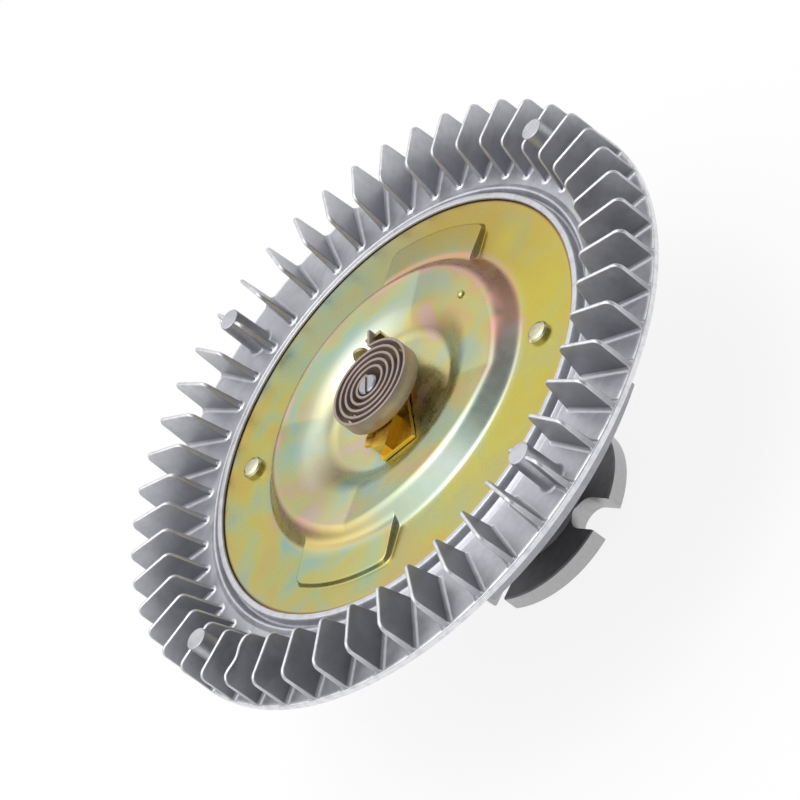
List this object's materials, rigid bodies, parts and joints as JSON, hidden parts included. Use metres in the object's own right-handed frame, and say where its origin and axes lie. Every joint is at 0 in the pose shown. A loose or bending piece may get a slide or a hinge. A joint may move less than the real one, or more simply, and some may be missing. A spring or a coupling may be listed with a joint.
{
  "type": "viscous fan clutch",
  "caption": "Thermal viscous fan clutch: finned aluminium housing with a pressed cover and bimetal coil, turning on a slotted drive hub.",
  "frame": {"origin": "centre of the drive hub's mounting face, at the mouth of its pilot bore", "axes": "+Z along the clutch axis towards the cover and coil; +X through one of the hub's bolt slots"},
  "size_m": [0.1754, 0.1754, 0.0711],
  "materials": {
    "hub_iron": "rough cast face, turned rim",
    "bearing_steel": "polished",
    "cage_brass": "satin",
    "seal_rubber": "matt",
    "spring_steel": "oiled",
    "rotor_aluminium": "turned",
    "cast_aluminium": "satin die casting",
    "plate_steel": "satin",
    "yellow_zinc": "yellow zinc plating with a rainbow sheen",
    "rivet_steel": "pale zinc plating",
    "bush_brass": "turned",
    "shaft_steel": "turned",
    "bracket_zinc": "yellow zinc plating",
    "bimetal": "bronze-brown bimetal strip"
  },
  "bodies": {
    "hub": {"drive_hub": "hub_iron", "bearing_inner_ring": "bearing_steel", "rotor": "rotor_aluminium"},
    "housing": {"finned_housing": "cast_aluminium", "bearing_outer_ring": "bearing_steel", "bearing_seal_rear": "seal_rubber", "bearing_seal_front": "seal_rubber", "bearing_snap_ring": "spring_steel", "cover_seal": "seal_rubber", "divider_plate": "plate_steel", "front_cover": "yellow_zinc", "cover_rivets": "rivet_steel", "shaft_bush": "bush_brass", "coil_bracket": "bracket_zinc", "bimetal_coil": "bimetal"},
    "ball_set": {"bearing_balls": "bearing_steel", "bearing_cage": "cage_brass"},
    "valve": {"valve_shaft": "shaft_steel", "valve_arm": "plate_steel", "valve_shaft_seal": "seal_rubber"}
  },
  "joints": [
    {"name": "housing_spin", "type": "hinge", "parent": "hub", "child": "housing", "pos_m": [0, 0, 0.034], "axis": [0, 0, 1], "continuous": true},
    {"name": "ball_orbit", "type": "hinge", "parent": "hub", "child": "ball_set", "pos_m": [0, 0, 0.034], "axis": [0, 0, 1], "continuous": true},
    {"name": "valve_turn", "type": "hinge", "parent": "housing", "child": "valve", "pos_m": [0, 0, 0.06], "axis": [0, 0, 1], "range_deg": [0, 30], "stiffness_Nm_per_rad": 0.05, "deforming": ["bimetal_coil"]}
  ],
  "couplings": [
    {"joint": "ball_orbit", "follows": "housing_spin", "ratio": 0.6184}
  ]
}
